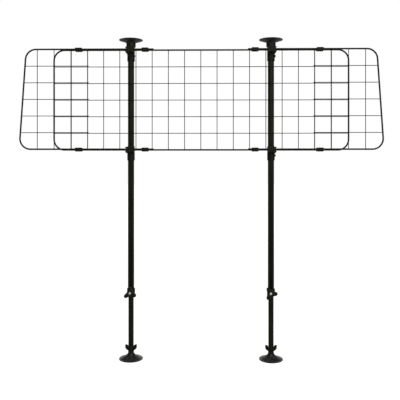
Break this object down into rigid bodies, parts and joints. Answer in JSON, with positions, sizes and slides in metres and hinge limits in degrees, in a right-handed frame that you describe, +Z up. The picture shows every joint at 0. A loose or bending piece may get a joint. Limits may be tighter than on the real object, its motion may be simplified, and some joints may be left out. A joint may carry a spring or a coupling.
{
  "type": "cargo barrier",
  "caption": "Wire mesh barrier with sliding side wings, hooked on two telescoping poles that brace between floor and roof.",
  "frame": {"origin": "on the floor, midway between the two poles' feet, under the middle of the mesh panel", "axes": "+X along the panel to the right as the picture shows it, -Y to the front, where the wings lie, +Z up along the poles"},
  "size_m": [1.1102, 0.073, 0.9823],
  "materials": {
    "black_rod": "satin black powder coat on drawn steel rod and wire",
    "black_tube": "satin black enamel on steel tube",
    "moulded_plastic": "finely textured black moulded plastic",
    "rubber": "smooth dark rubber, a little dusty",
    "black_steel": "blackened steel screws",
    "zinc_steel": "zinc-plated steel"
  },
  "bodies": {
    "panel": {"center_frame": "black_rod", "center_wire_net": "black_rod", "left_top_outer_clip": "moulded_plastic", "left_bottom_outer_clip": "moulded_plastic", "right_top_outer_clip": "moulded_plastic", "right_bottom_outer_clip": "moulded_plastic", "left_top_bracket": "moulded_plastic", "left_bottom_bracket": "moulded_plastic", "right_top_bracket": "moulded_plastic", "right_bottom_bracket": "moulded_plastic"},
    "left_wing": {"left_wing_frame": "black_rod", "left_wing_wire_net": "black_rod", "left_top_inner_clip": "moulded_plastic", "left_bottom_inner_clip": "moulded_plastic"},
    "left_pole": {"left_upper_tube": "black_tube", "left_top_pad": "rubber", "left_clamp_collar": "moulded_plastic"},
    "left_leg": {"left_lower_tube": "black_tube", "left_lower_tube_cap": "moulded_plastic", "left_tube_end_plug": "moulded_plastic"},
    "left_wing_nut": {"left_wing_nut": "moulded_plastic"},
    "left_foot": {"left_foot_stud": "zinc_steel", "left_foot_pad": "rubber"},
    "left_clamp_shoe": {"left_clamp_shoe": "moulded_plastic"},
    "left_clamp_knob": {"left_clamp_knob": "moulded_plastic", "left_clamp_screw": "zinc_steel"},
    "left_top_set_screw": {"left_top_set_screw": "black_steel"},
    "left_bottom_set_screw": {"left_bottom_set_screw": "black_steel"},
    "right_wing": {"right_wing_frame": "black_rod", "right_wing_wire_net": "black_rod", "right_top_inner_clip": "moulded_plastic", "right_bottom_inner_clip": "moulded_plastic"},
    "right_pole": {"right_upper_tube": "black_tube", "right_top_pad": "rubber", "right_clamp_collar": "moulded_plastic"},
    "right_leg": {"right_lower_tube": "black_tube", "right_lower_tube_cap": "moulded_plastic", "right_tube_end_plug": "moulded_plastic"},
    "right_wing_nut": {"right_wing_nut": "moulded_plastic"},
    "right_foot": {"right_foot_stud": "zinc_steel", "right_foot_pad": "rubber"},
    "right_clamp_shoe": {"right_clamp_shoe": "moulded_plastic"},
    "right_clamp_knob": {"right_clamp_knob": "moulded_plastic", "right_clamp_screw": "zinc_steel"},
    "right_top_set_screw": {"right_top_set_screw": "black_steel"},
    "right_bottom_set_screw": {"right_bottom_set_screw": "black_steel"}
  },
  "joints": [
    {"name": "left_wing_slide", "type": "slide", "parent": "panel", "child": "left_wing", "axis": [-1, 0, 0], "range_m": [-0.113, 0.022]},
    {"name": "right_wing_slide", "type": "slide", "parent": "panel", "child": "right_wing", "axis": [1, 0, 0], "range_m": [-0.113, 0.027]},
    {"name": "left_pole_slide", "type": "slide", "parent": "panel", "child": "left_pole", "axis": [0, 0, 1], "range_m": [0, 0.375]},
    {"name": "right_pole_slide", "type": "slide", "parent": "panel", "child": "right_pole", "axis": [0, 0, 1], "range_m": [0, 0.375]},
    {"name": "left_telescope", "type": "slide", "parent": "left_pole", "child": "left_leg", "axis": [0, 0, -1], "range_m": [-0.15, 0.18]},
    {"name": "right_telescope", "type": "slide", "parent": "right_pole", "child": "right_leg", "axis": [0, 0, -1], "range_m": [-0.15, 0.18]},
    {"name": "left_foot_jack", "type": "slide", "parent": "left_leg", "child": "left_foot", "axis": [0, 0, -1], "range_m": [0, 0.018]},
    {"name": "right_foot_jack", "type": "slide", "parent": "right_leg", "child": "right_foot", "axis": [0, 0, -1], "range_m": [0, 0.018]},
    {"name": "left_wing_nut_turn", "type": "hinge", "parent": "left_leg", "child": "left_wing_nut", "pos_m": [-0.2153, 0, 0.0316], "axis": [0, 0, 1], "range_deg": [0, 4320.1]},
    {"name": "right_wing_nut_turn", "type": "hinge", "parent": "right_leg", "child": "right_wing_nut", "pos_m": [0.2153, 0, 0.0316], "axis": [0, 0, 1], "range_deg": [0, 4320.1]},
    {"name": "left_clamp_shoe_slide", "type": "slide", "parent": "left_pole", "child": "left_clamp_shoe", "axis": [0, -1, 0], "range_m": [0, 0.003]},
    {"name": "right_clamp_shoe_slide", "type": "slide", "parent": "right_pole", "child": "right_clamp_shoe", "axis": [-0.1045, -0.9945, 0], "range_m": [0, 0.003]},
    {"name": "left_clamp_knob_turn", "type": "hinge", "parent": "left_clamp_shoe", "child": "left_clamp_knob", "pos_m": [-0.2153, 0, 0.208], "axis": [0, -1, 0], "range_deg": [0, 1080.1]},
    {"name": "right_clamp_knob_turn", "type": "hinge", "parent": "right_clamp_shoe", "child": "right_clamp_knob", "pos_m": [0.2153, 0, 0.208], "axis": [-0.1045, -0.9945, 0], "range_deg": [0, 1080.1]},
    {"name": "left_top_set_screw_turn", "type": "hinge", "parent": "panel", "child": "left_top_set_screw", "pos_m": [-0.2153, 0, 0.9316], "axis": [0.8387, -0.5446, 0], "range_deg": [0, 720]},
    {"name": "left_bottom_set_screw_turn", "type": "hinge", "parent": "panel", "child": "left_bottom_set_screw", "pos_m": [-0.2153, 0, 0.6268], "axis": [0.5299, -0.848, 0], "range_deg": [0, 720]},
    {"name": "right_top_set_screw_turn", "type": "hinge", "parent": "panel", "child": "right_top_set_screw", "pos_m": [0.2153, 0, 0.9316], "axis": [1, 0, 0], "range_deg": [0, 720]},
    {"name": "right_bottom_set_screw_turn", "type": "hinge", "parent": "panel", "child": "right_bottom_set_screw", "pos_m": [0.2153, 0, 0.6268], "axis": [1, 0, 0], "range_deg": [0, 720]}
  ],
  "couplings": [
    {"joint": "left_wing_nut_turn", "follows": "left_foot_jack", "rad_per_m": 4188.8},
    {"joint": "right_wing_nut_turn", "follows": "right_foot_jack", "rad_per_m": 4188.8},
    {"joint": "left_clamp_knob_turn", "follows": "left_clamp_shoe_slide", "rad_per_m": 6283.2},
    {"joint": "right_clamp_knob_turn", "follows": "right_clamp_shoe_slide", "rad_per_m": 6283.2}
  ]
}
